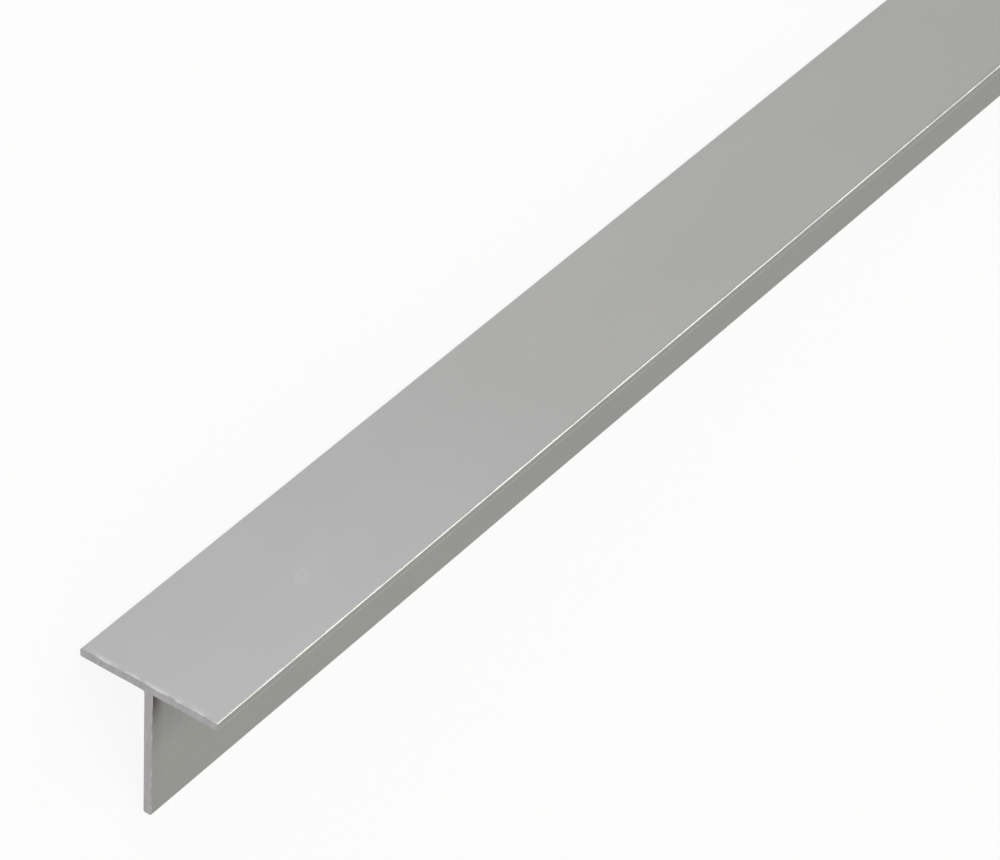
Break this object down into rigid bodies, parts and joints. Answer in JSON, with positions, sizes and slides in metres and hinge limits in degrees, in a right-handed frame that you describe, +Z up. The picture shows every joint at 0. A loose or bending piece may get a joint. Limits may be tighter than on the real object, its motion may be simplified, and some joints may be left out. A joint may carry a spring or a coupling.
{
  "type": "aluminium t-profile bar",
  "caption": "Straight bar of extruded aluminium with an equal T section, satin anodised and sawn square at both ends, for covering, edging and dividing panels.",
  "frame": {"origin": "on the floor, under the middle of the bar's bounding box", "axes": "+Z up as the bar rests on the floor; +Y along the bar, away from the end that the picture shows; +X across the bar, towards the web's tip"},
  "size_m": [0.028, 1, 0.0228],
  "materials": {
    "anodised_aluminium": "satin, silver anodised"
  },
  "bodies": {
    "root": {"t_profile": "anodised_aluminium"}
  },
  "joints": []
}
